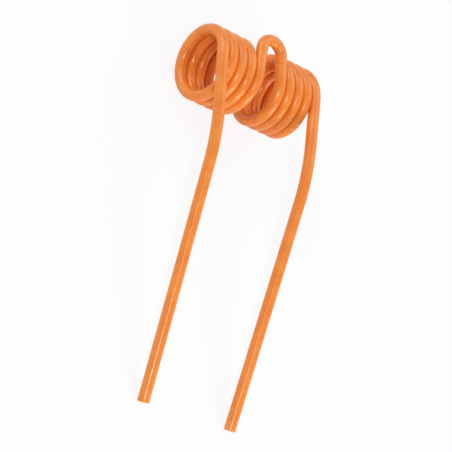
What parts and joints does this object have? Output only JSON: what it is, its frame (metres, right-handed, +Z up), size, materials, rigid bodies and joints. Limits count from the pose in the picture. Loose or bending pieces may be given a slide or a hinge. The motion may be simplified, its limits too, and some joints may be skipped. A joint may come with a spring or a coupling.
{
  "type": "pickup tine",
  "caption": "Double torsion spring tine of round wire: two long legs with one gentle bend, two close-wound coils and a short loop between them.",
  "frame": {"origin": "on the coils' axis, midway between the two coils", "axes": "+Y along the coils' axis, +X towards the tips of the legs, +Z up as the tine lies at rest on its coils and leg tips, with the legs' upper ends and the loop on the upper side"},
  "size_m": [0.1805, 0.0664, 0.0378],
  "materials": {
    "coated_wire": "glossy orange powder coat on spring steel"
  },
  "bodies": {
    "root": {"tine": "coated_wire"}
  },
  "joints": []
}
